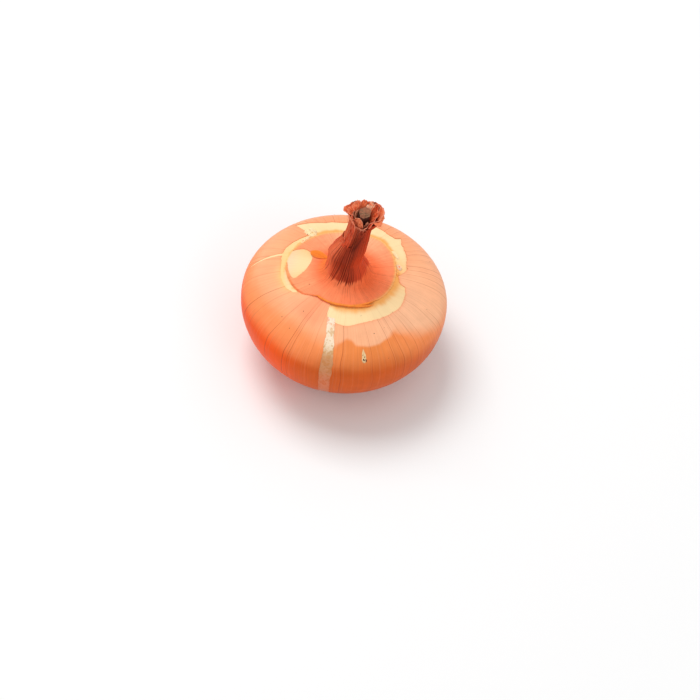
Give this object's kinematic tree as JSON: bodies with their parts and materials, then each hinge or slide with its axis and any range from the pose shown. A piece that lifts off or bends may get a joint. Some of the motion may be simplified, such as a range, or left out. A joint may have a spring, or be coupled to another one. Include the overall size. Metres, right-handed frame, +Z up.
{
  "type": "onion",
  "caption": "Flat orange-skinned onion with a torn papery outer skin, a pale ring of inner skin, a dry fibrous neck and trimmed roots.",
  "frame": {"origin": "point of the floor under the middle of the bulb, in the plane of the flat rim that the onion stands on", "axes": "+Z up, from the root plate to the neck; -Y is the front, with the split down the outer skin; +X is the onion's right, towards which the neck leans"},
  "size_m": [0.0749, 0.075, 0.073],
  "materials": {
    "bulb_skin": "pale cream, moist and satin inner skin",
    "outer_skin": "dry papery orange skin with fine dark veins and a satin gloss",
    "neck_leaf": "red-orange collar running up into a dark red-brown fibrous neck",
    "dry_leaf": "grey-brown, matt and dry",
    "dry_root": "pale brown, matt and wiry"
  },
  "bodies": {
    "root": {"bulb": "bulb_skin", "outer_skin": "outer_skin", "neck": "neck_leaf", "neck_core": "dry_leaf", "root_tuft": "dry_root"}
  },
  "joints": []
}
